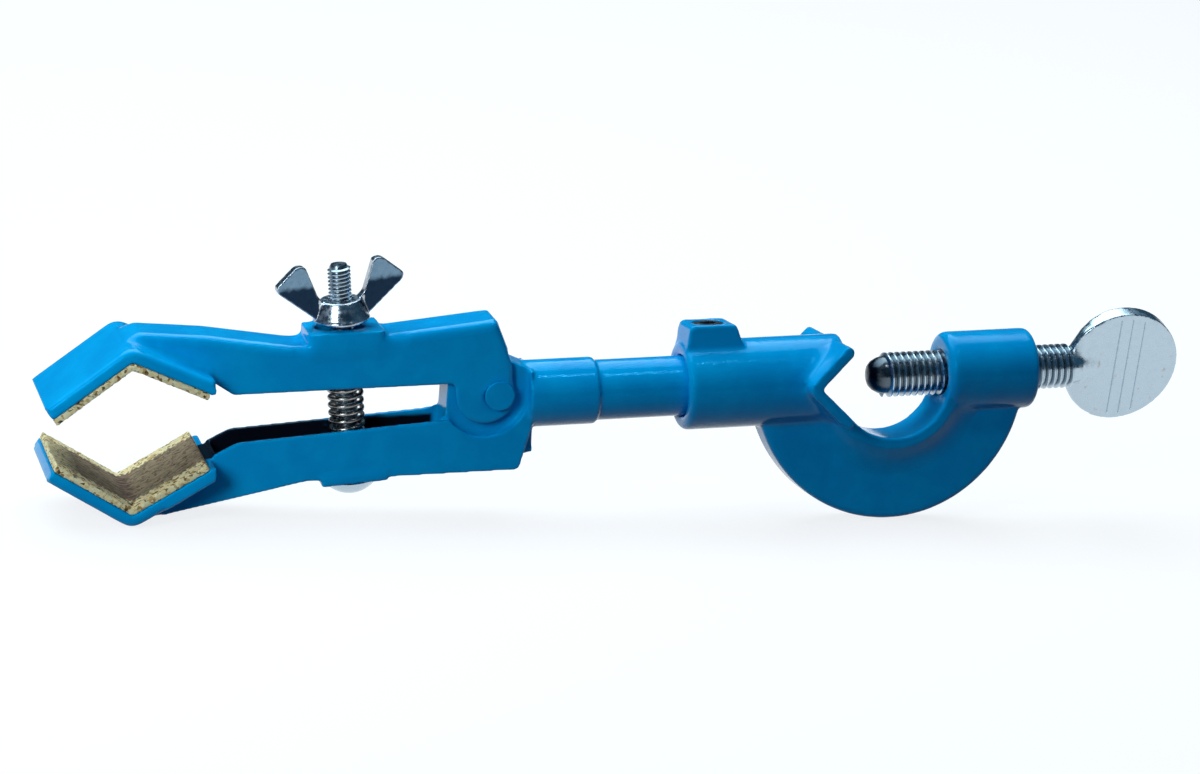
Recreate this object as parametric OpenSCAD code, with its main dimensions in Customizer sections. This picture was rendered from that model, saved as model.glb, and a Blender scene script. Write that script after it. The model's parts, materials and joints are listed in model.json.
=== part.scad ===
// Boss head clamp for a laboratory stand: a cast boss with a V notch and a
// thumb screw grips the stand's rod, and a two-finger jaw with cork linings
// grips the glassware. A wing nut on a carriage bolt closes the jaw against
// a compression spring. Lengths are in millimetres and angles in degrees.
//
// Every piece is drawn in the stem's own frame: X runs along the stem from
// the jaws (-X) to the thumb screw (+X), with the vertex of the notch at
// x = 0 and the stem's axis on z = 0. rest() then tips the whole clamp onto
// its two low points and moves the gripped rod's axis to the origin.

/* [Rod notch] */
// Diameter of the rod that sets the origin
rod_d = 12; // [8:0.5:15]
// Length of each leg of the notch, along its inner face
notch_leg = 13.2; // [11:0.1:16]
// Thickness of the notch plate
notch_t = 3; // [2.4:0.1:4]
// Width of the notch plate along the rod
notch_w = 35; // [26:0.5:46]

/* [Boss] */
// Outer diameter of the hub that holds the stem
hub_d = 23.4; // [21:0.1:30]
// Length of the hub from the notch vertex to its open end
hub_len = 34; // [28:0.5:44]
// Inner radius of the curved web under the rod
web_r_in = 15.2; // [13:0.1:18]
// Radial depth of the curved web
web_depth = 22.2; // [18:0.1:27]
// Thickness of the web
web_t = 9.4; // [7:0.1:12]
// Width of the rim along the web's inner edge
rim_w = 15.8; // [12:0.1:18]
// Outer diameter of the boss that carries the thumb screw
boss_d = 21.5; // [17:0.1:26]
// Length of the boss that carries the thumb screw
boss_len = 24.8; // [18:0.1:30]
// Width of the lug that carries the set screw
lug_w = 11.6; // [10:0.1:15]
// Height of the lug's top above the stem's axis
lug_top = 16.5; // [14.5:0.1:20]
// How far the boss is turned on the stem away from the jaws
head_turn = 6.5; // [0:0.5:12]

/* [Screws] */
// Crest diameter of the thumb screw's thread
thumb_d = 11.9; // [9:0.1:13]
// Gap between the notch vertex and the thumb screw's tip
thumb_gap = 17.8; // [14:0.1:30]
// Length of the thumb screw's shank, tip to paddle
thumb_len = 58; // [55:0.5:75]
// Diameter of the thumb screw's round paddle
paddle_d = 32; // [24:0.5:40]
// Thickness of the paddle
paddle_t = 4.4; // [3:0.1:7]
// Angle at which the paddle stopped, about the screw's axis
paddle_turn = 20; // [0:1:90]
// Crest diameter of the set screw
set_d = 8; // [6:0.1:8.4]
// Width across the flats of the set screw's hexagon socket
set_socket = 4; // [3:0.5:5]

/* [Stem] */
// Diameter of the stem inside the hub
stem_d = 15.8; // [13:0.1:17]
// Length of the stem that shows between the collar and the hub
stem_show = 23.5; // [15:0.5:40]
// Diameter of the collar next to the jaws
collar_d = 17.5; // [17.2:0.1:21]
// Length of the collar
collar_len = 17.5; // [10:0.5:30]

/* [Jaws] */
// Distance from the pivot pin to the bend of the fingers
finger_reach = 95.8; // [85:0.2:125]
// Distance from the pivot pin to the clamping bolt
bolt_reach = 38.7; // [34:0.1:45]
// Width of the arms
arm_w = 13.6; // [12.6:0.1:20]
// Wall thickness of the hollow arms
arm_wall = 1.7; // [1.2:0.1:2]
// Width of the fingers
finger_w = 29.6; // [24:0.1:40]
// Thickness of the finger plates
finger_t = 3.3; // [2:0.1:3.5]
// Thickness of the cork linings
cork_t = 1.8; // [1.5:0.1:3.5]
// Diameter of the pivot pin
pin_d = 5.9; // [4:0.1:6.4]
// Diameter of the pivot pin's riveted heads
pin_head_d = 7.8; // [7.2:0.1:9]

/* [Bolt, spring and wing nut] */
// Diameter of the carriage bolt
bolt_d = 5.9; // [4.8:0.1:6]
// Lean of the bolt away from square to the stem
bolt_lean = 3.4; // [0:0.1:5]
// Height of the bolt's end above the stem's axis
bolt_top = 37; // [34:0.5:48]
// Outer diameter of the spring
spring_d = 9.4; // [8.8:0.1:9.5]
// Diameter of the spring's wire
wire_d = 1.2; // [0.8:0.1:1.3]
// Number of turns in the spring
spring_turns = 15; // [10:1:17]
// Span of the wing nut over its wings
wing_span = 34; // [30:0.5:40]
// Height of the wings above the nut's seat
wing_height = 16.8; // [14:0.1:20]
// Thickness of the wings
wing_t = 2.6; // [2:0.1:3.5]
// Angle at which the wing nut stopped, about the bolt
wing_turn = 6; // [0:1:45]

/* [Fits] */
// Radial clearance of turning and threaded fits
running = 0.07; // [0.03:0.01:0.1]
// Clearance between pieces that only pass each other
passing = 0.3; // [0.2:0.05:0.5]

/* [Hidden] */
$fn = 72;

enamel = "#0a84c6";
steel = "#c4c6c8";
dark_steel = "#3d4044";
cork = "#b48a50";

// Rod and notch
rod_x = rod_d / 2 * sqrt(2);
notch_reach = notch_leg / sqrt(2);
notch_corner = notch_t / sqrt(2);

// Web, with its centre under the rod's space
web_x = notch_reach + web_r_in - 1.2;
web_z = -0.6;
web_r_out = web_r_in + web_depth;
boss_x = web_x + web_r_in - 0.3;

// Lug and set screw, whose tip stands clear of the stem until it is tightened
set_clear = 0.55;
lug_x = -hub_len + 7.8;
lug_len_top = set_d + 4.4;
lug_len_base = lug_len_top + 4.4;

// Stem and jaw root, from the hub's open end towards the jaws
bore_end = -6;
collar_end = -hub_len - stem_show;
jaw_root = collar_end - collar_len;
ear_r = 8.2;
recess_r = ear_r + 3.4;
ear_x = jaw_root - recess_r - 0.8;
ear_z = 2.6;
pin_x = ear_x + 3.4;
pin_z = 1.9;
tongue_w = arm_w - 2 * arm_wall - 2 * passing;
tongue_front = ear_x - 10.2;

// Arms, bolt line and fingers
channel_w = arm_w - 2 * arm_wall;
bolt_x = pin_x - bolt_reach;
finger_x = pin_x - finger_reach;
roof_t = 2.2;
lower_gap_z = -4.4;
upper_gap_z = 5.4;
underside_z = -18.5;
lower_pad_z = -19.9;
upper_pad_z = 20.5;
pad_len = 19.6;
pad_w = arm_w + 0.6;
lip_t = 1.6;
finger_bend_r = 4.5;

// Outer surfaces of the two fingers: apex height and the slopes and lengths
// of the tip leg and the arm leg, all measured along the outer surface
lower_v = [-26.2, 33, 25.5, 29, 24.4];
upper_v = [-21.4, 35, 26.1, 25, 23.6];

// Bolt, spring and nut, along the bolt's own axis
neck_w = bolt_d + 0.2;
neck_h = underside_z + roof_t - lower_pad_z - 0.1;
head_d = 14.4;
head_h = 4.1;
slot_w = bolt_d + 0.9;
slot_back = bolt_d / 2 + 4.1;
slot_front = bolt_d / 2 + 2.5;
nut_gap = 0.6;
nut_seat_r = 26;
nut_base_d = 14.8;
nut_neck_d = 11;
nut_h = 6.6;
spring_low = underside_z + roof_t + 0.15;
spring_high = upper_pad_z - 4.9;

// Tilt that puts the web's low edge and the lower finger's bend on one level
web_drop = web_r_out * cos(head_turn) + web_t / 2 * sin(head_turn) - web_z;
bend_centre_z = lower_v[0] + finger_bend_r / cos((lower_v[1] + lower_v[3]) / 2);
tilt = asin((web_drop - finger_bend_r + bend_centre_z) / (web_x - finger_x));

// ---- Outlines ----

function unit(v) = v / norm(v);

// Arc that rounds the corner p between the points a and b
function corner_arc(a, p, b, r, n = 6) =
    let (
        u = unit(a - p),
        v = unit(b - p),
        half = acos(u * v) / 2,
        c = p + unit(u + v) * r / sin(half),
        from = p + u * r / tan(half) - c,
        to = p + v * r / tan(half) - c,
        a0 = atan2(from.y, from.x),
        sweep = ((atan2(to.y, to.x) - a0 + 540) % 360) - 180
    )
    [for (i = [0:n]) c + r * [cos(a0 + sweep * i / n), sin(a0 + sweep * i / n)]];

// Outline from [x, z, radius] corners; a radius of 0 leaves a corner sharp
function rounded(corners) =
    let (n = len(corners))
    [
        for (i = [0:n - 1])
            let (
                p = corners[i],
                a = corners[(i + n - 1) % n],
                b = corners[(i + 1) % n]
            )
            each p[2] == 0
                ? [[p.x, p.y]]
                : corner_arc([a.x, a.y], [p.x, p.y], [b.x, b.y], p[2])
    ];

function arc(x, z, r, from, to, n = 12) =
    [for (i = [0:n]) [x + r * cos(from + (to - from) * i / n), z + r * sin(from + (to - from) * i / n)]];

// Corners of a bent finger band between the depths d0 and d1 under the outer
// surface, for a finger whose apex points down
function v_band(v, d0, d1, r0) =
    let (
        tip = [-cos(v[1]), sin(v[1])] * v[2],
        arm = [cos(v[3]), sin(v[3])] * v[4],
        tip_in = [sin(v[1]), cos(v[1])],
        arm_in = [-sin(v[3]), cos(v[3])],
        bend_in = [cos(v[3]) - cos(v[1]), sin(v[1]) + sin(v[3])] / sin(v[1] + v[3]),
        apex = [finger_x, v[0]]
    )
    rounded([
        each_corner(apex + tip + tip_in * d0, 0),
        each_corner(apex + bend_in * d0, r0),
        each_corner(apex + arm + arm_in * d0, 0),
        each_corner(apex + arm + arm_in * d1, 0),
        each_corner(apex + bend_in * d1, max(r0 - (d1 - d0), 0.4)),
        each_corner(apex + tip + tip_in * d1, 0)
    ]);

function each_corner(p, r) = [p.x, p.y, r];

// Solid with the outline in the X-Z plane, centred on y = 0
module slab(outline, width) {
    translate([0, width / 2, 0])
        rotate([90, 0, 0])
            linear_extrude(width)
                polygon(outline);
}

// Round solid about the X axis, from [x, radius] points
module turned(profile) {
    rotate([0, 90, 0])
        rotate_extrude()
            polygon([for (p = profile) [p[1], p[0]]]);
}

module along_x(x, r, length) {
    translate([x, 0, 0])
        rotate([0, 90, 0])
            cylinder(r = r, h = length);
}

module across(x, z, r, width) {
    translate([x, width / 2, z])
        rotate([90, 0, 0])
            cylinder(r = r, h = width);
}

// ---- Placing ----

module rest() {
    rotate([0, -tilt, 0])
        translate([-rod_x, 0, 0])
            children();
}

module head_pose() {
    rest()
        rotate([-head_turn, 0, 0])
            children();
}

module bolt_pose() {
    rest()
        translate([bolt_x, 0, 0])
            rotate([0, -bolt_lean, 0])
                children();
}

// ---- Boss ----

module hub() {
    r = hub_d / 2;
    turned(concat(
        [[-hub_len, 0]],
        arc(-hub_len + 1.6, r - 1.6, 1.6, 180, 90, 6),
        [[notch_reach, r], [notch_reach, 0]]
    ));
}

module notch_plate() {
    slab(rounded([
        [0, 0, 0.8],
        [notch_reach, notch_reach, 1.3],
        [notch_reach - notch_corner, notch_reach + notch_corner, 1],
        [-2 * notch_corner, 0, 3],
        [notch_reach - notch_corner, -notch_reach - notch_corner, 1],
        [notch_reach, -notch_reach, 1.3]
    ]), notch_w);
}

// Half ring whose section is a flat web with a flared rim on its inner edge
module web() {
    rim = rim_w / 2;
    half = web_t / 2;
    section = [
        [web_r_in, -rim], [web_r_in + 3.4, -rim],
        [web_r_in + 5.6, -half - 1.1], [web_r_in + 8.6, -half],
        [web_r_out - 0.8, -half], [web_r_out, -half + 0.8],
        [web_r_out, half - 0.8], [web_r_out - 0.8, half],
        [web_r_in + 8.6, half], [web_r_in + 5.6, half + 1.1],
        [web_r_in + 3.4, rim], [web_r_in, rim]
    ];
    translate([web_x, 0, web_z])
        intersection() {
            rotate([90, 0, 0])
                rotate_extrude()
                    polygon(section);
            translate([-web_r_out - 1, -rim_w, -web_r_out - 1])
                cube([2 * web_r_out + 2, 2 * rim_w, web_r_out + 1 - web_z]);
        }
}

module screw_boss() {
    r = boss_d / 2;
    turned(concat(
        [[boss_x, 0]],
        arc(boss_x + 2.2, r - 2.2, 2.2, 180, 90, 6),
        arc(boss_x + boss_len - 1.4, r - 1.4, 1.4, 90, 0, 6),
        [[boss_x + boss_len, 0]]
    ));
}

module lug() {
    slab(rounded([
        [lug_x - lug_len_base / 2 + 0.9, stem_d / 2 + 1, 0],
        [lug_x - lug_len_top / 2, lug_top, 1.4],
        [lug_x + lug_len_top / 2, lug_top, 1.4],
        [lug_x + lug_len_base / 2 + 0.6, stem_d / 2 + 1, 0]
    ]), lug_w);
}

module boss_head() {
    color(enamel)
        head_pose()
            difference() {
                union() {
                    hub();
                    notch_plate();
                    web();
                    screw_boss();
                    lug();
                }
                // space for the rod, between the notch and the web
                slab([
                    [0, 0],
                    [notch_reach, notch_reach],
                    [boss_x - 4, notch_reach],
                    [boss_x - 4, web_z],
                    [notch_reach + 2, -notch_reach - 0.9],
                    [notch_reach, -notch_reach]
                ], notch_w + 2);
                // stem socket, closed at the notch end
                along_x(-hub_len - 1, stem_d / 2 + running, hub_len + 1 + bore_end);
                // countersink at the socket's mouth
                turned([
                    [-hub_len - 1, 0],
                    [-hub_len - 1, stem_d / 2 + 1.8],
                    [-hub_len + 0.9, stem_d / 2 - 0.1],
                    [-hub_len + 0.9, 0]
                ]);
                // threaded hole for the set screw
                translate([lug_x, 0, 0])
                    cylinder(r = set_d / 2 + running, h = lug_top + 1);
                // threaded hole for the thumb screw
                along_x(boss_x - 6, thumb_d / 2 + running, boss_len + 12);
            }
}

// ---- Screws ----

module thumb_screw() {
    r = thumb_d / 2;
    shank_end = thumb_gap + thumb_len;
    centre = shank_end + paddle_d / 2 - 2.5;
    color(steel)
        head_pose() {
            turned(concat(
                [[thumb_gap, 0], [thumb_gap, r - 4]],
                arc(thumb_gap + 3.4, r - 3.6, 3.6, 160, 95, 5),
                [[thumb_gap + 4.2, r], [shank_end + 1, r], [shank_end + 3, paddle_t / 2], [shank_end + 3, 0]]
            ));
            rotate([paddle_turn, 0, 0])
                intersection() {
                    across(centre, 0, paddle_d / 2, paddle_t);
                    translate([shank_end - 1, -paddle_t, -paddle_d])
                        cube([paddle_d + 2, 2 * paddle_t, 2 * paddle_d]);
                }
        }
}

module set_screw() {
    low = stem_d / 2 + set_clear;
    color(dark_steel)
        head_pose()
            translate([lug_x, 0, 0])
                difference() {
                    union() {
                        translate([0, 0, low + 1])
                            cylinder(r = set_d / 2, h = lug_top - 0.2 - low - 1);
                        translate([0, 0, low])
                            cylinder(r = set_d / 2 - 1, h = 2);
                    }
                    translate([0, 0, lug_top - 4.2])
                        cylinder(r = set_socket / sqrt(3), h = 5, $fn = 6);
                }
}

// ---- Jaws ----

// Lip at the arm end of a finger, against which the cork ends; up is the
// direction from the finger's back to its cork
module lip(v, up) {
    x = finger_x + cos(v[3]) * v[4];
    z = up * (v[0] + sin(v[3]) * v[4]);
    height = finger_t + cork_t - 1.6;
    low = up > 0 ? z - 0.2 : z + 0.2 - height;
    translate([x - lip_t, -finger_w / 2, low])
        cube([lip_t, finger_w, height]);
}

module lower_arm() {
    slab(rounded([
        [finger_x + 4, lower_v[0] + 3.2, 0],
        [finger_x + 5, lower_v[0] + 0.1, 0],
        [bolt_x - 11.5, underside_z, 12],
        [jaw_root - 3.4, underside_z, 1.4],
        [jaw_root, -7, 3],
        [jaw_root, 8, 0],
        [ear_x, 8, 0],
        [ear_x - recess_r - 2, lower_gap_z, 0],
        [finger_x + 28, lower_gap_z - 2.8, 4],
        [finger_x + 21.8, lower_gap_z - 5.8, 0],
        [finger_x + 21.4, lower_v[0] + 12.4, 0]
    ]), arm_w);
}

// Hollow of the lower arm, open at the top
module lower_channel() {
    slab([
        [finger_x + 22.6, 5],
        [finger_x + 22.6, underside_z + 1.1],
        [finger_x + 29, underside_z + 0.1],
        [bolt_x - 11.5, underside_z + roof_t],
        [tongue_front + 1, underside_z + roof_t],
        [tongue_front + 1, 5]
    ], channel_w);
}

// Round pocket in which the upper jaw's ears turn, beside the tongue
module ear_pocket() {
    slab(concat(
        arc(ear_x, ear_z, recess_r, 180, 360, 24),
        [[ear_x + recess_r, ear_z + 20], [ear_x - recess_r, ear_z + 20]]
    ), arm_w + 2);
}

module tongue() {
    slab(rounded([
        [tongue_front, underside_z + 1, 0],
        [jaw_root + 0.5, underside_z + 4, 0],
        [jaw_root + 0.5, 7.5, 0],
        [ear_x + 6, 10.6, 3],
        [tongue_front + 4, 10.6, 3],
        [tongue_front + 0.6, 6, 2],
        [tongue_front, lower_gap_z, 0]
    ]), tongue_w);
}

// Stem that turns in the hub's socket and that the set screw's tip bears on
module stem() {
    start = jaw_root + 2;
    end = bore_end - 0.4;
    turned([
        [start, 0],
        [start, stem_d / 2],
        [end - 0.8, stem_d / 2],
        [end, stem_d / 2 - 0.8],
        [end, 0]
    ]);
}

module lower_pad() {
    translate([bolt_x, 0, 0])
        rotate([0, -bolt_lean, 0])
            translate([-pad_len / 2 + 1.2, -pad_w / 2, lower_pad_z])
                cube([pad_len - 2.4, pad_w, 2.9]);
}

// Square hole for the carriage bolt's neck
module neck_hole() {
    w = neck_w + 0.4;
    translate([bolt_x, 0, 0])
        rotate([0, -bolt_lean, 0])
            translate([-w / 2, -w / 2, lower_pad_z - 1])
                cube([w, w, 8]);
}

module lower_jaw() {
    color(enamel)
        rest()
            difference() {
                union() {
                    difference() {
                        union() {
                            lower_arm();
                            along_x(jaw_root - 0.9, collar_d / 2, collar_len + 0.9);
                        }
                        lower_channel();
                        ear_pocket();
                    }
                    tongue();
                    slab(v_band(lower_v, 0, finger_t, finger_bend_r), finger_w);
                    lip(lower_v, 1);
                    stem();
                    lower_pad();
                }
                across(pin_x, pin_z, pin_d / 2 + running, arm_w + 2);
                neck_hole();
            }
}

module upper_arm() {
    slab(rounded(concat(
        [
            [finger_x + 1, 19.2, 0],
            [finger_x - 1.6, 20.6, 0.8],
            [finger_x + 3.2, 22.6, 3.5],
            [finger_x + 20.5, 20.9, 20],
            [bolt_x - 13.6, 17, 14],
            [ear_x + 2.8, 21.7, 1.2],
            [ear_x + 7.6, 9.5, 4]
        ],
        [for (p = arc(ear_x, ear_z, ear_r, 20, -160, 14)) [p.x, p.y, 0]],
        [
            [ear_x - 8.2, upper_gap_z, 1.2],
            [finger_x + 27, upper_gap_z, 2],
            [finger_x + 22.4, 8.6, 0],
            [finger_x + 20, 10.4, 0]
        ]
    )), arm_w);
}

// Hollow of the upper arm, open at the bottom and over the tongue
module upper_channel() {
    slab([
        [finger_x + 26, upper_gap_z - 3],
        [finger_x + 26, 15.2],
        [bolt_x - 13.6, 17 - roof_t],
        [ear_x - 1, 21.2 - roof_t],
        [ear_x + 2.4, 13.2],
        [ear_x + 14, 11.2],
        [ear_x + 14, -12],
        [ear_x - 14, -12],
        [ear_x - 14, upper_gap_z - 3]
    ], channel_w);
}

module upper_pad() {
    translate([bolt_x - pad_len / 2 - 1, -pad_w / 2, 14.6])
        cube([pad_len, pad_w, upper_pad_z - 14.6]);
}

// Slot that lets the jaw swing past the bolt
module bolt_slot() {
    translate([bolt_x, 0, 0])
        rotate([0, -bolt_lean, 0])
            translate([0, 0, 10]) {
                for (x = [-slot_back + slot_w / 2, slot_front - slot_w / 2])
                    translate([x, 0, 0])
                        cylinder(r = slot_w / 2, h = 20);
                translate([-slot_back + slot_w / 2, -slot_w / 2, 0])
                    cube([slot_back + slot_front - slot_w, slot_w, 20]);
            }
}

module upper_jaw() {
    color(enamel)
        rest()
            difference() {
                union() {
                    difference() {
                        union() {
                            upper_arm();
                            upper_pad();
                        }
                        upper_channel();
                    }
                    mirror([0, 0, 1])
                        slab(v_band(upper_v, 0, finger_t, finger_bend_r), finger_w);
                    lip(upper_v, -1);
                }
                bolt_slot();
                across(pin_x, pin_z, pin_d / 2 + running, arm_w + 2);
            }
}

module pivot_pin() {
    gap = 0.1;
    head = 0.9;
    color(enamel)
        rest() {
            across(pin_x, pin_z, pin_d / 2, arm_w + 2 * gap);
            for (side = [-1, 1])
                translate([0, side * (arm_w / 2 + gap + head / 2), 0])
                    across(pin_x, pin_z, pin_head_d / 2, head);
        }
}

// ---- Bolt, spring and nut ----

module clamp_bolt() {
    dome_r = (pow(head_d / 2, 2) + head_h * head_h) / (2 * head_h);
    color(steel)
        bolt_pose() {
            translate([0, 0, lower_pad_z])
                cylinder(r = bolt_d / 2, h = bolt_top - lower_pad_z);
            translate([-neck_w / 2, -neck_w / 2, lower_pad_z])
                cube([neck_w, neck_w, neck_h]);
            translate([0, 0, lower_pad_z])
                rotate_extrude()
                    polygon(concat(
                        [[0, 0]],
                        [for (i = [0:10]) let (x = head_d / 2 * (1 - i / 10))
                            [x, -sqrt(dome_r * dome_r - x * x) + dome_r - head_h]]
                    ));
        }
}

// Coil swept as rings of six points, with closed turns at both ends
function coil_height(t) =
    let (
        n = spring_turns,
        free = spring_high - spring_low - wire_d - 2 * wire_d,
        s = min(max((t - 1) / (n - 2), 0), 1)
    )
    spring_low + wire_d / 2 + wire_d * min(t, 1) + free * s + wire_d * max(t - n + 1, 0);

module spring() {
    steps = 18 * spring_turns;
    sides = 6;
    mean_r = (spring_d - wire_d) / 2;
    points = [
        for (i = [0:steps], k = [0:sides - 1])
            let (
                a = 360 * i / 18,
                b = 360 * k / sides,
                r = mean_r + wire_d / 2 * cos(b)
            )
            [r * cos(a), r * sin(a), coil_height(i / 18) + wire_d / 2 * sin(b)]
    ];
    skin = [
        for (i = [0:steps - 1], k = [0:sides - 1])
            let (
                a = i * sides + k,
                b = i * sides + (k + 1) % sides
            )
            [a, a + sides, b + sides, b]
    ];
    start_cap = [[for (k = [0:sides - 1]) k]];
    end_cap = [[for (k = [sides - 1:-1:0]) steps * sides + k]];
    color(dark_steel)
        bolt_pose()
            polyhedron(points, concat(start_cap, skin, end_cap));
}

module wing() {
    half = wing_span / 2;
    slab(rounded([
        [3.6, 3, 0],
        [5.4, 0.9, 0],
        [half - 0.7, wing_height - 6.8, 1.2],
        [half, wing_height - 5.2, 1.2],
        [half - 6, wing_height, 2.5],
        [half - 8, wing_height - 0.7, 1],
        [nut_neck_d / 2 + 0.6, nut_h + 1.4, 3],
        [nut_neck_d / 2 - 1.4, nut_h - 0.6, 0]
    ]), wing_t);
}

module wing_nut() {
    seat = upper_pad_z + nut_gap;
    color(steel)
        bolt_pose()
            translate([0, 0, seat])
                difference() {
                    union() {
                        rotate_extrude()
                            polygon(concat(
                                [for (i = [0:6]) let (x = (nut_base_d / 2 - 0.4) * i / 6)
                                    [x, nut_seat_r - sqrt(nut_seat_r * nut_seat_r - x * x)]],
                                [
                                    [nut_base_d / 2, 1.7],
                                    [nut_base_d / 2 - 0.5, 2.3],
                                    [nut_neck_d / 2, nut_h - 0.4],
                                    [nut_neck_d / 2 - 0.4, nut_h],
                                    [0, nut_h]
                                ]
                            ));
                        rotate([0, 0, wing_turn])
                            for (side = [0, 180])
                                rotate([0, 0, side])
                                    wing();
                    }
                    translate([0, 0, -1])
                        cylinder(r = bolt_d / 2 + running, h = nut_h + 2);
                }
}

// ---- Corks ----

module cork_lining(v, up) {
    lip_x = finger_x + cos(v[3]) * v[4] - lip_t;
    color(cork)
        rest()
            difference() {
                if (up > 0)
                    slab(v_band(v, finger_t, finger_t + cork_t, finger_bend_r - finger_t), finger_w);
                else
                    mirror([0, 0, 1])
                        slab(v_band(v, finger_t, finger_t + cork_t, finger_bend_r - finger_t), finger_w);
                translate([lip_x, -finger_w, -40])
                    cube([20, 2 * finger_w, 80]);
            }
}

module upper_cork() {
    cork_lining(upper_v, -1);
}

module lower_cork() {
    cork_lining(lower_v, 1);
}

boss_head();
thumb_screw();
set_screw();
lower_jaw();
upper_jaw();
pivot_pin();
clamp_bolt();
spring();
wing_nut();
upper_cork();
lower_cork();
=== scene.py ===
"""A boss head clamp: a two-jaw clamp on a swivelling stem, held by a boss head."""

import math

import bpy
import numpy as np
from mathutils import Matrix, Vector
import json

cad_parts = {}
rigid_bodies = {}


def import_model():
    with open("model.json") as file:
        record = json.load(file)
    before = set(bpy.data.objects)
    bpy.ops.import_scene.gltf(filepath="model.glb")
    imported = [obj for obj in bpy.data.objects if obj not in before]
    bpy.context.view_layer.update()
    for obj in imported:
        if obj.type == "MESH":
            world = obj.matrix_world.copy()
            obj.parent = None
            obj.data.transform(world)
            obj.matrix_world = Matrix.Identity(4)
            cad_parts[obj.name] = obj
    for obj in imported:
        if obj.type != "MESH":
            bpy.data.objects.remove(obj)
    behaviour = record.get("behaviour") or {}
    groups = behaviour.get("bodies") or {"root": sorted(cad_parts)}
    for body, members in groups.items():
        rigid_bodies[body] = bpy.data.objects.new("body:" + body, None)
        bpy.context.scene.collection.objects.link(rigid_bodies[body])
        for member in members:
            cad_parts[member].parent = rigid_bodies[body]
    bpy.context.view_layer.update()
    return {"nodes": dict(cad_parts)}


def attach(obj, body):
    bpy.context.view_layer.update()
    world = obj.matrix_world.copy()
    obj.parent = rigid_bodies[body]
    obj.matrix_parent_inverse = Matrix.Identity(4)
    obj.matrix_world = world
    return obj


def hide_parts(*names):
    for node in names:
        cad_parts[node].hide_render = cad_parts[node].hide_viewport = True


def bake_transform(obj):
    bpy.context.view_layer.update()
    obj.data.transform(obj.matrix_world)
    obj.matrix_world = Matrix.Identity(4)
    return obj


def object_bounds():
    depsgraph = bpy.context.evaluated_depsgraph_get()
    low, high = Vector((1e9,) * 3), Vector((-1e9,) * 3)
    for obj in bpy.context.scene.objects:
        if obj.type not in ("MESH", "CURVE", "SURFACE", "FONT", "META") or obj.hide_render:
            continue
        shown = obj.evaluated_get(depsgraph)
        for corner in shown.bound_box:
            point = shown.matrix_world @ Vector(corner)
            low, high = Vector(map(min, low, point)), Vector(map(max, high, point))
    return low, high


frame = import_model()

# ---------------------------------------------------------------- boss head
# The boss head is one casting: a hub with the stem's socket, a V plate that
# takes the rod, a half-ring web and a threaded boss. It is fettled, dipped
# and stoved in glossy blue enamel, which softens every edge.

MM = 0.001
TILT = math.radians(3.6245)
HEAD_TURN = math.radians(6.5)
ROD_X = 8.485 * MM
AT_REST = Matrix.Rotation(-TILT, 4, "Y") @ Matrix.Translation((-ROD_X, 0, 0))
AT_HEAD = AT_REST @ Matrix.Rotation(-HEAD_TURN, 4, "X")
CASTING_FACES = 190000
HUB_R = 11
PLATE_SET_BACK = 4.24
RING_X, RING_Z = 23.33, -0.6


def alone(piece):
    """Makes one object the only one selected, and the active one."""
    bpy.ops.object.select_all(action="DESELECT")
    piece.select_set(True)
    bpy.context.view_layer.objects.active = piece


def apply(piece, kind, **settings):
    """Adds a modifier with its settings and applies it."""
    alone(piece)
    modifier = piece.modifiers.new(kind.lower(), kind)
    for key, value in settings.items():
        setattr(modifier, key, value)
    bpy.ops.object.modifier_apply(modifier=modifier.name)


def blank_of(node, name):
    """A merged copy of a CAD node's mesh, free of its body."""
    alone(frame["nodes"][node])
    bpy.ops.object.duplicate()
    piece = bpy.context.active_object
    piece.name = piece.data.name = name
    piece.parent = None
    for key in list(piece.keys()):
        del piece[key]
    piece.data.materials.clear()
    bpy.ops.mesh.customdata_custom_splitnormals_clear()
    bpy.ops.object.mode_set(mode="EDIT")
    bpy.ops.mesh.select_all(action="SELECT")
    bpy.ops.mesh.remove_doubles(threshold=0.002 * MM)
    bpy.ops.object.mode_set(mode="OBJECT")
    return piece


def places(piece, pose=None):
    """The vertices in millimetres, in the frame of the pose."""
    spots = np.empty(len(piece.data.vertices) * 3, np.float32)
    piece.data.vertices.foreach_get("co", spots)
    spots = spots.reshape(-1, 3).astype(float)
    if pose is not None:
        back = np.array(pose.inverted())
        spots = spots @ back[:3, :3].T + back[:3, 3]
    return spots / MM


def facings(piece):
    """The unit normal of each vertex."""
    arrows = np.empty(len(piece.data.vertices) * 3, np.float32)
    piece.data.vertices.foreach_get("normal", arrows)
    return arrows.reshape(-1, 3).astype(float)


def pick(piece, mask):
    """Selects the masked vertices and opens the piece in edit mode."""
    alone(piece)
    bpy.ops.object.mode_set(mode="EDIT")
    bpy.ops.mesh.select_mode(type="VERT")
    bpy.ops.mesh.select_all(action="DESELECT")
    bpy.ops.object.mode_set(mode="OBJECT")
    piece.data.vertices.foreach_set("select", mask)
    bpy.ops.object.mode_set(mode="EDIT")


def soften(piece, mask, passes, rings=0):
    """Melts the masked part of a casting, and some rings round it, smoother."""
    pick(piece, mask)
    for _ in range(rings):
        bpy.ops.mesh.select_more()
    bpy.ops.mesh.vertices_smooth(factor=0.5, repeat=passes)
    bpy.ops.object.mode_set(mode="OBJECT")


def cast(piece, grain, passes, faces=None):
    """Gives a blank the skin of a dipped casting, with rounded edges."""
    apply(piece, "REMESH", mode="VOXEL", voxel_size=grain * MM)
    apply(piece, "SMOOTH", factor=0.5, iterations=passes)
    if faces and len(piece.data.polygons) * 2 > faces:
        apply(piece, "DECIMATE", ratio=faces / (len(piece.data.polygons) * 2))
    alone(piece)
    bpy.ops.object.shade_smooth()
    return piece


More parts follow.
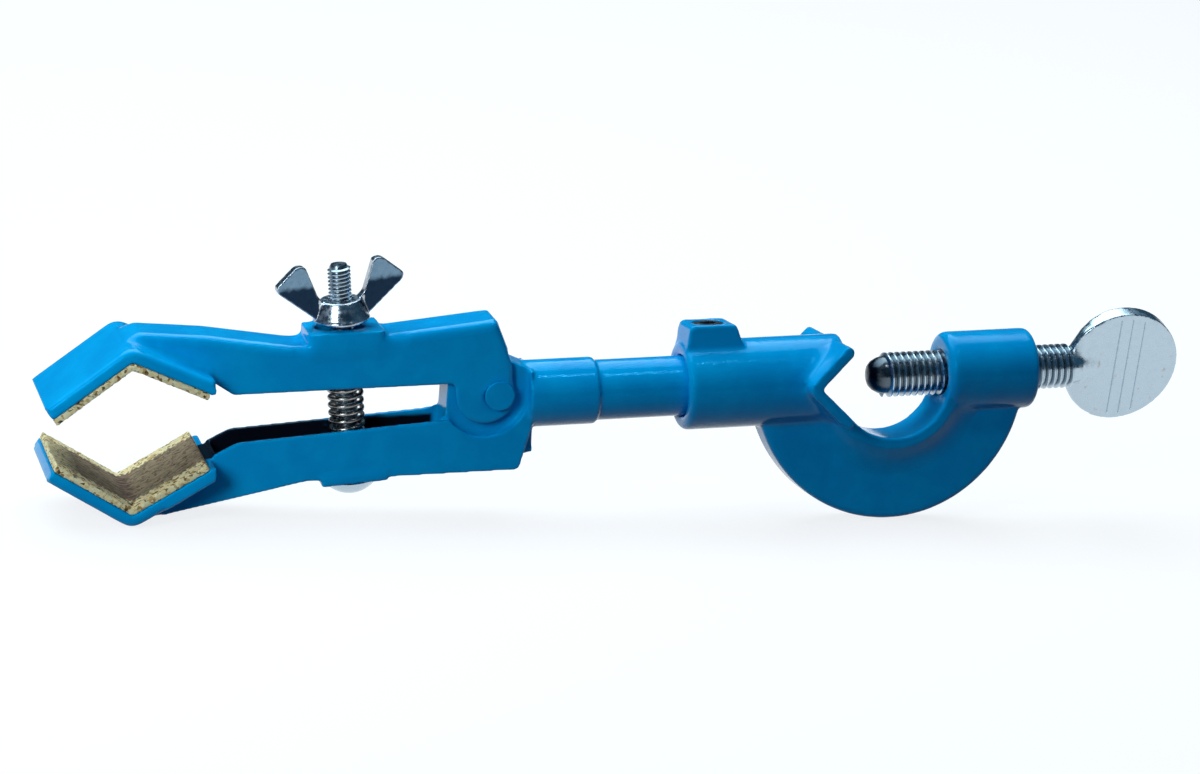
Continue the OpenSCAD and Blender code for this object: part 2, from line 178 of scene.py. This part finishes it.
head = blank_of("boss_head", "boss_casting")
cast(head, 0.4, 14, CASTING_FACES)
x, y, z = places(head, AT_HEAD).T
around = np.hypot(y, z)
plate_gap = (abs(z) - x - PLATE_SET_BACK) / math.sqrt(2)
fillet = (plate_gap > -0.4) & (plate_gap < 3.2) & (around > HUB_R) & (around < HUB_R + 4)
fillet &= (abs(z) < 10) & (x < 8)
soften(head, fillet, 60)
ring = np.hypot(x - RING_X, z - RING_Z)
flare = (ring > 18) & (ring < 25.5) & (z < -1) & (abs(y) > 3)
flare &= (plate_gap > 3) | (x > 12)
soften(head, flare, 120)
under_hub = (z < -8.5) & (z > -14.5) & (abs(y) > 3) & (abs(y) < 9) & (x < 6)
under_hub &= ring < 36.5
soften(head, under_hub, 50)


class Finish:
    """A value in a material's node tree, which adds nodes as it is used."""

    def __init__(self, socket):
        self.socket = socket

    def node(self, kind, settings=None, values=None, out=0):
        """Adds a node: its settings first, then its sockets' values or links."""
        tree = self.socket.id_data
        made = tree.nodes.new(kind)
        for key, value in (settings or {}).items():
            if key == "stops":
                ramp = made.color_ramp.elements
                while len(ramp) < len(value):
                    ramp.new(0.5)
                for stop, (place, shade) in zip(ramp, value):
                    stop.position, stop.color = place, (*shade, 1)
            else:
                setattr(made, key, value)
        for key, value in (values or {}).items():
            if isinstance(value, Finish):
                tree.links.new(value.socket, made.inputs[key])
            else:
                made.inputs[key].default_value = value
        return Finish(made.outputs[out])

    def sum(self, operation, *terms):
        return self.node(
            "ShaderNodeMath", {"operation": operation}, dict(enumerate(terms))
        )

    def __add__(self, other):
        return self.sum("ADD", self, other)

    def __sub__(self, other):
        return self.sum("SUBTRACT", self, other)

    def __rsub__(self, other):
        return self.sum("SUBTRACT", other, self)

    def __mul__(self, other):
        return self.sum("MULTIPLY", self, other)

    __radd__, __rmul__ = __add__, __mul__

    def step(self, low, high, bottom=0.0, top=1.0):
        """Runs smoothly from bottom to top as the value goes from low to high."""
        return self.node(
            "ShaderNodeMapRange",
            {"interpolation_type": "SMOOTHSTEP"},
            {0: self, 1: low, 2: high, 3: bottom, 4: top},
        )

    def noise(self, size, detail=2.0, roughness=0.5, squeeze=None):
        """Noise with features of that size in millimetres."""
        place = self
        if squeeze:
            place = self.node("ShaderNodeMapping", {}, {0: self, 3: squeeze})
        return self.node(
            "ShaderNodeTexNoise",
            {},
            {
                "Vector": place,
                "Scale": 1 / (size * MM),
                "Detail": detail,
                "Roughness": roughness,
            },
        )

    def cells(self, size, out=0):
        """Cells of that size in millimetres."""
        values = {"Vector": self, "Scale": 1 / (size * MM)}
        return self.node("ShaderNodeTexVoronoi", {}, values, out)

    def mixed(self, other, share):
        """This colour turning into the other one by the share."""
        return self.node(
            "ShaderNodeMix",
            {"data_type": "RGBA"},
            {0: share, 6: self, 7: other},
            2,
        )

    def bump(self, height, distance):
        """This normal, or none, roughened by the height in millimetres."""
        values = {"Height": height, "Distance": distance * MM, "Strength": 1.0}
        if self.socket.name == "Normal":
            values["Normal"] = self
        return self.node("ShaderNodeBump", {}, values)


def new_finish(name, **constants):
    """A material with its shader, and the place on the piece."""
    material = bpy.data.materials.new(name)
    material.use_nodes = True
    shader = material.node_tree.nodes["Principled BSDF"]
    for key, value in constants.items():
        shader.inputs[key.replace("_", " ")].default_value = value
    coordinates = material.node_tree.nodes.new("ShaderNodeTexCoord")
    return material, shader, Finish(coordinates.outputs["Object"])


def feed(shader, **values):
    """Links values into the shader's sockets."""
    for key, value in values.items():
        shader.id_data.links.new(value.socket, shader.inputs[key.replace("_", " ")])


def colour(place, shade):
    """A plain colour as a value that can be mixed."""
    return place.node("ShaderNodeMix", {"data_type": "RGBA"}, {6: shade, 7: shade}, 2)


ENAMEL = (0.0, 0.33, 0.74, 1)
ENAMEL_LIGHT = (0.0, 0.38, 0.80, 1)
ENAMEL_GLEAM = (0.02, 0.5, 1.0, 1)
# Near black: painted shade for the inside of the jaws' channels.
CHANNEL_SHADE_BLACK = (0.004, 0.006, 0.012, 1)


def enamel_paint():
    """Stoved enamel: a level gloss with orange peel and a few nibs of dust.

    Where a piece is marked, painted shade turns the inside of a channel near black.
    """
    material, shader, place = new_finish(
        "enamel", IOR=1.34, Specular_Tint=ENAMEL_GLEAM
    )
    clouds = place.noise(9, 3)
    blue = colour(place, ENAMEL).mixed(ENAMEL_LIGHT, clouds.step(0.35, 0.7))
    # Painted shade: the marked inside of a channel is mixed towards near black.
    bare = place.node("ShaderNodeAttribute", {"attribute_name": "bare"}, {}, 2)
    feed(shader, Base_Color=blue.mixed(CHANNEL_SHADE_BLACK, bare))
    feed(shader, Roughness=place.noise(5, 3).step(0.3, 0.7, 0.08, 0.17))
    peel = place.noise(1.6, 2) + place.noise(0.55, 2) * 0.35
    nibs = place.cells(2.4).step(0.0, 0.12, 1.0, 0.0)
    feed(shader, Normal=peel.bump(peel, 0.06).bump(nibs, 0.03))
    return material


enamel = enamel_paint()
head.data.materials.append(enamel)
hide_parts("boss_head")
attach(head, "boss")


# ---------------------------------------------------------------- set screw
# A short socket screw of blackened steel in the lug, which locks the stem.
# Its rim is broken and its hexagon is broached.

set_screw = blank_of("set_screw", "lug_screw")
alone(set_screw)
bpy.ops.object.mode_set(mode="EDIT")
bpy.ops.mesh.select_all(action="SELECT")
bpy.ops.mesh.dissolve_limited(angle_limit=math.radians(1))
bpy.ops.object.mode_set(mode="OBJECT")
apply(
    set_screw,
    "BEVEL",
    width=0.25 * MM,
    segments=2,
    limit_method="ANGLE",
    angle_limit=math.radians(40),
)
alone(set_screw)
bpy.ops.object.shade_smooth_by_angle(angle=math.radians(30))

black_steel, shader, place = new_finish("black_steel", Metallic=1.0)
feed(
    shader,
    Base_Color=colour(place, (0.05, 0.055, 0.065, 1)).mixed(
        (0.2, 0.2, 0.22, 1), place.noise(1.2, 3).step(0.5, 0.75)
    ),
    Roughness=place.noise(0.8, 2).step(0.3, 0.7, 0.25, 0.45),
)
set_screw.data.materials.append(black_steel)
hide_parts("set_screw")
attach(set_screw, "set_screw")

# ---------------------------------------------------------------- thumb screw
# A forged steel screw with a rolled M12 thread and a round paddle pressed
# flat at its end, all of it nickel plated. Three fine lines cross the paddle.


def lathe(name, profile, pose, steps=64):
    """A round piece about the pose's Z axis, from (radius, height) in mm."""
    bpy.ops.mesh.primitive_plane_add(size=MM)
    piece = bpy.context.active_object
    piece.name = piece.data.name = name
    bpy.ops.object.mode_set(mode="EDIT")
    bpy.ops.mesh.merge(type="CENTER")
    here = Vector((0, 0, 0))
    for radius, height in profile:
        there = Vector((radius * MM, 0, height * MM))
        move = {"value": there - here}
        if here.length == 0:
            bpy.ops.transform.translate(**move)
        else:
            bpy.ops.mesh.extrude_region_move(TRANSFORM_OT_translate=move)
        here = there
    bpy.ops.mesh.select_all(action="SELECT")
    bpy.ops.mesh.spin(
        steps=steps, angle=2 * math.pi, center=(0, 0, 0), axis=(0, 0, 1)
    )
    bpy.ops.mesh.select_all(action="SELECT")
    bpy.ops.mesh.remove_doubles(threshold=0.001 * MM)
    bpy.ops.mesh.normals_make_consistent(inside=False)
    bpy.ops.object.mode_set(mode="OBJECT")
    piece.data.transform(pose)
    bpy.ops.object.shade_smooth_by_angle(angle=math.radians(35))
    return piece


def thread(name, pose, low, high, crest, root, pitch, steps=40):
    """A rolled thread about the pose's Z axis, as a closed ridge in mm."""
    half = pitch / 2
    bpy.ops.mesh.primitive_plane_add(size=MM)
    piece = bpy.context.active_object
    piece.name = piece.data.name = name
    corners = [
        (root - 0.25, -0.46 * pitch),
        (crest, -0.09 * pitch),
        (root - 0.25, 0.46 * pitch),
        (crest, 0.09 * pitch),
    ]
    for vertex, (r, h) in zip(piece.data.vertices, corners):
        vertex.co = (r * MM, 0, (low + half + h) * MM)
    turns = max(1, round((high - low) / pitch) - 1)
    apply(
        piece,
        "SCREW",
        axis="Z",
        screw_offset=pitch * MM,
        iterations=turns,
        steps=steps,
        render_steps=steps,
        use_merge_vertices=False,
    )
    bpy.ops.object.mode_set(mode="EDIT")
    bpy.ops.mesh.select_all(action="DESELECT")
    bpy.ops.mesh.select_mode(type="EDGE")
    bpy.ops.mesh.select_non_manifold()
    bpy.ops.mesh.fill_holes(sides=0)
    bpy.ops.mesh.select_all(action="SELECT")
    bpy.ops.mesh.normals_make_consistent(inside=False)
    bpy.ops.object.mode_set(mode="OBJECT")
    piece.data.transform(pose)
    bpy.ops.object.shade_smooth_by_angle(angle=math.radians(35))
    return piece


def joined(name, *pieces):
    """Several meshes as one piece."""
    bpy.ops.object.select_all(action="DESELECT")
    for piece in pieces:
        piece.select_set(True)
    bpy.context.view_layer.objects.active = pieces[0]
    bpy.ops.object.join()
    pieces[0].name = pieces[0].data.name = name
    return pieces[0]


def mark(piece, name, share):
    """Stores a share from 0 to 1 at each vertex, for a finish to read."""
    layer = piece.data.attributes.new(name, "FLOAT", "POINT")
    layer.data.foreach_set("value", np.clip(share, 0, 1).astype(np.float32))


ALONG = AT_HEAD @ Matrix.Rotation(math.pi / 2, 4, "Y")
SHANK_END = 75.8
CREST_R, ROOT_R, PITCH = 5.95, 4.95, 1.75
PADDLE_TURN = math.radians(20)
PADDLE_R, PADDLE_T = 16.0, 4.4
PADDLE_X = SHANK_END + PADDLE_R - 2.5
GROOVES, GROOVE_SIDE = (-1.9, 1.4, 4.9), 0.42

shank = lathe(
    "shank",
    [
        (0, 17.8),
        (1.6, 17.85),
        (2.9, 18.3),
        (3.9, 19.2),
        (4.7, 20.7),
        (5.0, 21.9),
        (ROOT_R, 23),
        (ROOT_R, 75),
        (4.6, 77.4),
        (0, 77.4),
    ],
    ALONG,
)
ridge = thread("ridge", ALONG, 21.2, 75.6, CREST_R, ROOT_R, PITCH)

PADDLE = AT_HEAD @ Matrix.Rotation(PADDLE_TURN, 4, "X")
PADDLE = PADDLE @ Matrix.Rotation(math.pi / 2, 4, "X")
bpy.ops.mesh.primitive_cylinder_add(
    vertices=96,
    radius=PADDLE_R * MM,
    depth=PADDLE_T * MM,
    location=(PADDLE_X * MM, 0, 0),
)
paddle = bpy.context.active_object
bpy.ops.object.transform_apply(location=True, rotation=True, scale=True)
bpy.ops.mesh.primitive_cone_add(
    vertices=64,
    radius1=5.3 * MM,
    radius2=1.6 * MM,
    depth=13 * MM,
    location=((SHANK_END + 4.6) * MM, 0, 0),
    rotation=(0, math.pi / 2, 0),
)
neck = bpy.context.active_object
bpy.ops.object.transform_apply(location=True, rotation=True, scale=True)
bpy.ops.mesh.primitive_cube_add(size=2 * MM)
wedge = bpy.context.active_object
for vertex in wedge.data.vertices:
    near = vertex.co.x < 0
    vertex.co.x = (SHANK_END - 0.6 if near else PADDLE_X - 6) * MM
    vertex.co.y = math.copysign((5.2 if near else 14.6) * MM, vertex.co.y)
    vertex.co.z = math.copysign(PADDLE_T / 2 * MM, vertex.co.z)
paddle = joined("paddle", paddle, neck, wedge)
cast(paddle, 0.3, 9)
x, y, z = places(paddle).T
for reach, width, passes in ((5, 10, 110), (7.5, 12.5, 45), (10.5, 14.5, 20)):
    throat = (x > SHANK_END - 2) & (x < SHANK_END + reach) & (abs(y) < width)
    soften(paddle, throat, passes)

cutters = []
for groove_x in GROOVES:
    reach = math.sqrt((PADDLE_R - 1.6) ** 2 - groove_x**2)
    bpy.ops.mesh.primitive_cube_add(size=MM)
    cutter = bpy.context.active_object
    cutter.scale = (GROOVE_SIDE, 2 * reach, GROOVE_SIDE)
    cutter.rotation_euler = (0, math.pi / 4, 0)
    cutter.location = ((PADDLE_X + groove_x) * MM, 0, 2.26 * MM)
    bpy.ops.object.transform_apply(location=True, rotation=True, scale=True)
    cutters.append(cutter)
grooves = joined("grooves", *cutters)
apply(paddle, "BOOLEAN", operation="DIFFERENCE", object=grooves, solver="EXACT")
bpy.data.objects.remove(grooves)
alone(paddle)
bpy.ops.object.shade_smooth_by_angle(angle=math.radians(35))
paddle.data.transform(PADDLE)
thumb = joined("thumb_screw_plated", paddle, shank, ridge)

plated, shader, place = new_finish("nickel_plate", Metallic=1.0)
stain = place.noise(2.2, 4, 0.6).step(0.6, 0.8)
# Near black where a piece is marked: painted shade in the thread roots, and a darkened
# tip.
grime = place.node("ShaderNodeAttribute", {"attribute_name": "grime"}, {}, 2)
feed(
    shader,
    Base_Color=colour(place, (0.47, 0.575, 0.65, 1))
    .mixed((0.40, 0.36, 0.30, 1), stain * 0.7)
    .mixed((0.012, 0.02, 0.03, 1), grime),
    Roughness=place.noise(1.5, 3).step(0.35, 0.7, 0.2, 0.36) + stain * 0.15,
    Normal=place.bump(place.noise(0.9, 3), 0.02),
)
x, y, z = places(thumb, AT_HEAD).T
# Painted shade in the thread roots; the rounded tip is darkened to near black as well.
roots = np.clip((5.75 - np.hypot(y, z)) / 0.6, 0, 1) * (x < SHANK_END - 1)
mark(thumb, "grime", np.maximum(roots * 0.8, np.clip((21.4 - x) / 0.8, 0, 1)))
thumb.data.materials.append(plated)
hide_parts("thumb_screw")
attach(thumb, "thumb_screw")

# ---------------------------------------------------------------- lower jaw
# The lower jaw and the stem are one casting: a channelled arm with a pocket
# for the upper jaw's ears, a V finger, and the stem that turns in the hub.
# The walls beside the pocket are fettled level with the arm's top.


lower = cast(blank_of("lower_jaw", "lower_jaw_casting"), 0.4, 10, CASTING_FACES)
x, y, z = places(lower, AT_REST).T
toward = facings(lower).T
rim = (toward[2] < -0.15) & (abs(toward[1]) > 0.15) & (x < -172)
soften(lower, rim, 40, 3)
x, y, z = places(lower, AT_REST).T
top_line = -4.35 + 0.03 * (x + 101)
peak = (x > -101.8) & (x < -94.5) & (abs(y) > 5.2) & (z > top_line)
spots = np.stack((x, y, np.where(peak, top_line, z)), 1) * MM
turn = np.array(AT_REST)
spots = spots @ turn[:3, :3].T + turn[:3, 3]
lower.data.vertices.foreach_set("co", spots.astype(np.float32).ravel())
soften(lower, peak, 6, 2)
x, y, z = places(lower, AT_REST).T
toward = facings(lower).T
# The inside of the lower channel is marked for painted shade, near black.
inside = (toward[1] * np.sign(y) < -0.4) | (toward[2] > 0.4)
inside = inside * np.clip((6.4 - abs(y)) / 0.5, 0, 1) * (x > -180)
inside *= np.clip((-98.5 - x) / 1.0, 0, 1) * np.clip((-5.3 - z) / 0.8, 0, 1)
mark(lower, "bare", inside)
lower.data.materials.append(enamel)
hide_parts("lower_jaw")
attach(lower, "lower_jaw")

# ---------------------------------------------------------------- corks
# Each finger is lined with a strip of agglomerated cork, glued on and cut
# ragged with a knife. Its face is worn grey-brown and its edges are fresh.


def worn_face(piece, inward):
    """Marks how far each point is on the worn face, from 0 to 1."""
    facing = facings(piece) @ np.array(inward)
    at = places(piece, AT_REST)
    rag = 0.5 * np.sin(at[:, 0] * 2.1) + 0.4 * np.sin(at[:, 0] * 5.3)
    facing *= np.clip(10.9 + rag - abs(at[:, 1]), 0, 1)
    facing *= np.clip((at[:, 0] + 201) / 9, 0.45, 1)
    mark(piece, "worn", facing * 1.6 - 0.5)


def cork_strip(node, name, inward):
    """A cork lining with crumbled edges."""
    piece = cast(blank_of(node, name), 0.3, 4)
    at = places(piece, AT_REST)
    bend = at[np.argmin(at[:, 2] * inward[2]), 0]
    soften(piece, (abs(at[:, 0] - bend) < 6) & (abs(at[:, 1]) < 13), 160)
    worn_face(piece, inward)
    crumbs = bpy.data.textures.new(name, "CLOUDS")
    crumbs.noise_scale = 0.7 * MM
    crumbs.noise_depth = 3
    edge = piece.vertex_groups.new(name="edge")
    across = abs(places(piece)[:, 1])
    rim = np.clip((across - 13.2) / 1.4, 0.12, 1)
    for level in range(1, 9):
        share = level / 8
        chosen = np.nonzero(np.ceil(rim * 8) == level)[0].tolist()
        edge.add(chosen, share, "REPLACE")
    apply(
        piece,
        "DISPLACE",
        texture=crumbs,
        texture_coords="OBJECT",
        strength=-0.6 * MM,
        mid_level=0.35,
        vertex_group="edge",
    )
    return piece


cork, shader, place = new_finish("cork", Specular_IOR_Level=0.3)
worn = place.node("ShaderNodeAttribute", {"attribute_name": "worn"}, {}, 2)
grain = place.cells(0.75, out=1)
tone = place.node("ShaderNodeSeparateColor", {}, {0: grain})
granules = tone.node(
    "ShaderNodeValToRGB",
    {
        "stops": [
            (0.0, (0.13, 0.06, 0.02)),
            (0.13, (0.55, 0.33, 0.11)),
            (0.30, (0.98, 0.76, 0.38)),
            (1.0, (1.0, 0.90, 0.58)),
        ]
    },
    {0: tone},
)
streaks = place.noise(1.1, 4, 0.65, (0.3, 1, 0.6)).step(0.4, 0.6)
rubbed = colour(place, (0.11, 0.07, 0.048, 1)).mixed((0.31, 0.20, 0.135, 1), streaks)
dashes = place.noise(0.8, 3, 0.6, (0.32, 1.3, 0.8)).step(0.59, 0.66)
pits = place.cells(1.1).step(0.05, 0.3)
feed(
    shader,
    Base_Color=granules.mixed(rubbed, worn).mixed(
        (0.02, 0.012, 0.008, 1), dashes * 0.85
    ),
    Roughness=place.noise(1, 2).step(0.3, 0.7, 0.75, 0.95),
    Normal=place.bump(place.noise(0.5, 4, 0.7) + pits * 0.5, 0.3),
)
for node, body, inward in (
    ("lower_cork", "lower_jaw", (0, 0, 1)),
    ("upper_cork", "upper_jaw", (0, 0, -1)),
):
    strip = cork_strip(node, node + "_strip", inward)
    strip.data.materials.append(cork)
    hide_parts(node)
    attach(strip, body)

# ---------------------------------------------------------------- upper jaw
# The upper jaw is a channelled arm whose two ears straddle the tongue, with
# a raised seat for the wing nut and a V finger.

BOLT_X = -122.7
upper = cast(blank_of("upper_jaw", "upper_jaw_casting"), 0.36, 10, CASTING_FACES)
x, y, z = places(upper, AT_REST).T
toward = facings(upper).T
crown = (toward[2] > 0.15) & (abs(toward[1]) > 0.15) & (abs(x - BOLT_X) > 9)
soften(upper, crown & (x < -64), 70, 4)
seat = (abs(x - BOLT_X) < 15) & (abs(y) > 5.5) & (z > 13) & (z < 20.2)
soften(upper, seat, 60)
x, y, z = places(upper, AT_REST).T
# The inside of the upper channel is marked for painted shade, near black.
inside = np.clip((5.6 - abs(y)) / 0.5, 0, 1) * np.clip((x + 155) / 3, 0, 1)
inside *= np.clip((-97 - x) / 2, 0, 1) * np.clip((z - 6.2) / 0.8, 0, 1) * (z < 14)
mark(upper, "bare", inside)
upper.data.materials.append(enamel)
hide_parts("upper_jaw")
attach(upper, "upper_jaw")

# ---------------------------------------------------------------- pivot pin
# A steel rivet through the ears and the tongue, painted over with the jaws.

pin = cast(blank_of("pivot_pin", "pivot_rivet"), 0.2, 6)
pin.data.materials.append(enamel)
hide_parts("pivot_pin")
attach(pin, "lower_jaw")

# ---------------------------------------------------------------- clamp bolt
# A round-headed M6 coach bolt stands in the lower jaw, with its square neck
# in the casting and its thread through the spring, the arm and the nut.

BOLT_LEAN = math.radians(-3.4)
AT_BOLT = AT_REST @ Matrix.Translation((BOLT_X * MM, 0, 0))
AT_BOLT = AT_BOLT @ Matrix.Rotation(BOLT_LEAN, 4, "Y")
BOLT_CREST, BOLT_ROOT, BOLT_PITCH, BOLT_TIP = 2.95, 2.42, 1.0, 36.9
HEAD_R, HEAD_H, HEAD_TOP = 7.2, 4.1, -19.9
DOME_R = (HEAD_R**2 + HEAD_H**2) / (2 * HEAD_H)
dome = [
    (r, HEAD_TOP - math.sqrt(DOME_R**2 - r**2) + DOME_R - HEAD_H)
    for r in (HEAD_R * k / 12 for k in range(13))
]
bolt_shank = lathe(
    "bolt_shank",
    [
        *dome,
        (HEAD_R, HEAD_TOP),
        (2.9, HEAD_TOP),
        (2.9, -6),
        (BOLT_ROOT, -5.6),
        (BOLT_ROOT, 36.2),
        (2.0, BOLT_TIP),
        (0, BOLT_TIP),
    ],
    AT_BOLT,
)
bolt_thread = thread(
    "bolt_thread", AT_BOLT, -5.6, BOLT_TIP, BOLT_CREST, BOLT_ROOT, BOLT_PITCH, 28
)
bolt = joined("coach_bolt", bolt_shank, bolt_thread)
x, y, z = places(bolt, AT_BOLT).T
# Painted shade in the bolt's thread roots.
mark(bolt, "grime", np.clip((2.85 - np.hypot(x, y)) / 0.35, 0, 1) * (z > -5.6) * 0.6)
bolt.data.materials.append(plated)
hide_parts("clamp_bolt")
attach(bolt, "lower_jaw")

# ---------------------------------------------------------------- spring
# A compression spring of round wire stands round the bolt and pushes the
# upper jaw open.

SPRING_LOW, SPRING_HIGH, WIRE, SPRING_R, COILS = -16.15, 15.6, 1.2, 4.1, 15
bpy.ops.mesh.primitive_circle_add(
    vertices=12,
    radius=WIRE / 2 * MM,
    fill_type="NOTHING",
    rotation=(math.pi / 2, 0, 0),
)
spring = bpy.context.active_object
spring.name = spring.data.name = "coil_spring"
bpy.ops.object.transform_apply(location=True, rotation=True, scale=True)
spring.data.transform(
    Matrix.Translation((SPRING_R * MM, 0, (SPRING_LOW + WIRE / 2) * MM))
)
apply(
    spring,
    "SCREW",
    axis="Z",
    screw_offset=(SPRING_HIGH - SPRING_LOW - WIRE) / COILS * MM,
    iterations=COILS,
    steps=32,
    render_steps=32,
    use_merge_vertices=False,
)
bpy.ops.object.mode_set(mode="EDIT")
bpy.ops.mesh.select_mode(type="EDGE")
bpy.ops.mesh.select_all(action="DESELECT")
bpy.ops.mesh.select_non_manifold()
bpy.ops.mesh.fill_holes(sides=0)
bpy.ops.mesh.select_all(action="SELECT")
bpy.ops.mesh.normals_make_consistent(inside=False)
bpy.ops.object.mode_set(mode="OBJECT")
spring.data.transform(AT_BOLT)
bpy.ops.object.shade_smooth()

spring_wire, shader, place = new_finish("spring_wire", Metallic=1.0)
feed(
    shader,
    Base_Color=colour(place, (0.22, 0.21, 0.2, 1)).mixed(
        (0.42, 0.4, 0.37, 1), place.noise(1.5, 3).step(0.4, 0.7)
    ),
    Roughness=place.noise(0.8, 2).step(0.3, 0.7, 0.2, 0.35),
)
spring.data.materials.append(spring_wire)
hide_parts("spring")
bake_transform(spring)

# ---------------------------------------------------------------- wing nut
# A pressed and tumbled wing nut, bright zinc plated, on the upper seat.

nut = cast(blank_of("wing_nut", "wing_nut_plated"), 0.18, 8)
x, y, z = places(nut, AT_BOLT).T
# The flat faces of the wings are marked for a painted reflection.
toward = facings(nut) @ np.array(AT_BOLT.to_3x3())
flat = np.clip((abs(toward[:, 1]) - 0.9) / 0.08, 0, 1) * (np.hypot(x, y) > 6.2)
mark(nut, "flat", flat)
mark(nut, "height", (z - z.min()) / np.ptp(z))
zinc, shader, place = new_finish("bright_zinc", Metallic=1.0)
flat = place.node("ShaderNodeAttribute", {"attribute_name": "flat"}, {}, 2)
height = place.node("ShaderNodeAttribute", {"attribute_name": "height"}, {}, 2)
level = height + place.noise(2.5, 3) * 0.16 - 0.08
# Painted reflection on the wings' flat faces: near black low down, a grey band higher up.
painted_reflection = colour(place, (0.012, 0.028, 0.055, 1)).mixed(
    (0.17, 0.28, 0.38, 1), level.step(0.62, 0.72)
)
feed(
    shader,
    Base_Color=colour(place, (0.42, 0.46, 0.52, 1)).mixed(
        (0.62, 0.68, 0.74, 1), place.noise(3, 3).step(0.4, 0.65)
    )
    .mixed(painted_reflection, flat),
    Roughness=place.noise(1.2, 3).step(0.3, 0.7, 0.16, 0.34),
    Normal=place.bump(place.noise(0.7, 3), 0.03),
)
nut.data.materials.append(zinc)
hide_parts("wing_nut")
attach(nut, "wing_nut")

# ---------------------------------------------------------------- studio
# The clamp lies on a pale, faintly glowing sweep under a broad soft light. A
# narrow panel close to the jaws lights their sides, and a small lamp above
# gives the enamel its glints.

bpy.ops.mesh.primitive_plane_add(size=8, location=(0, 1.5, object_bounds()[0].z))
floor = bpy.context.active_object
floor.name = "floor"
paper, shader, place = new_finish(
    "paper", Roughness=0.9, Emission_Color=(0.97, 0.985, 1, 1), Emission_Strength=0.84
)
feed(shader, Base_Color=colour(place, (0.18, 0.183, 0.186, 1)))
floor.data.materials.append(paper)


def panel(name, place, target, width, height, power, tint):
    """A softbox that faces the target."""
    lamp = bpy.data.lights.new(name, "AREA")
    lamp.shape, lamp.size, lamp.size_y = "RECTANGLE", width, height
    lamp.energy, lamp.color = power, tint
    stand = bpy.data.objects.new(name, lamp)
    bpy.context.scene.collection.objects.link(stand)
    stand.location = place
    stand.rotation_mode = "QUATERNION"
    stand.rotation_quaternion = (Vector(target) - Vector(place)).to_track_quat("-Z", "Y")


CENTRE = (-0.06, 0, 0)
panel("top_light", (-0.25, 0.42, 0.95), CENTRE, 1.5, 0.9, 15, (0.8, 0.95, 1))
panel(
    "left_panel", (-0.46, -0.34, 0.2), (-0.2, 0, 0), 0.16, 0.24, 0.2, (0.85, 0.96, 1)
)
bpy.data.lights["left_panel"].spread = math.radians(62)
panel("glint_lamp", (0.1, -0.25, 0.8), CENTRE, 0.05, 0.05, 0.45, (1, 1, 1))
floor.visible_diffuse = False

world = bpy.data.worlds.new("studio")
bpy.context.scene.world = world
world.use_nodes = True
sky = world.node_tree.nodes["Background"]
above = Finish(world.node_tree.nodes.new("ShaderNodeTexCoord").outputs["Generated"])
height = above.node("ShaderNodeSeparateXYZ", {}, {0: above}, 2)
glow = height.node(
    "ShaderNodeValToRGB",
    {
        "stops": [
            (0.0, (0.04, 0.12, 0.22)),
            (0.46, (0.03, 0.10, 0.18)),
            (0.54, (0.06, 0.18, 0.31)),
            (0.75, (0.12, 0.36, 0.58)),
        ]
    },
    {0: height * 0.5 + 0.5},
)
world.node_tree.links.new(glow.socket, sky.inputs["Color"])
sky.inputs["Strength"].default_value = 0.24
bpy.context.scene.view_settings.view_transform = "Standard"

lens = bpy.data.cameras.new("camera")
lens.lens, lens.sensor_width = 116.55, 36
lens.clip_start, lens.clip_end = 0.05, 20
camera = bpy.data.objects.new("camera", lens)
bpy.context.scene.collection.objects.link(camera)
forward = Vector((0.2722, 0.9233, -0.2709)).normalized()
up = Vector((-0.0110, 0.2845, 0.9586))
right = forward.cross(up).normalized()
up = right.cross(forward)
turn = Matrix((right, up, -forward)).transposed().to_4x4()
camera.matrix_world = Matrix.Translation((-0.3389, -0.9331, 0.2704)) @ turn
bpy.context.scene.camera = camera
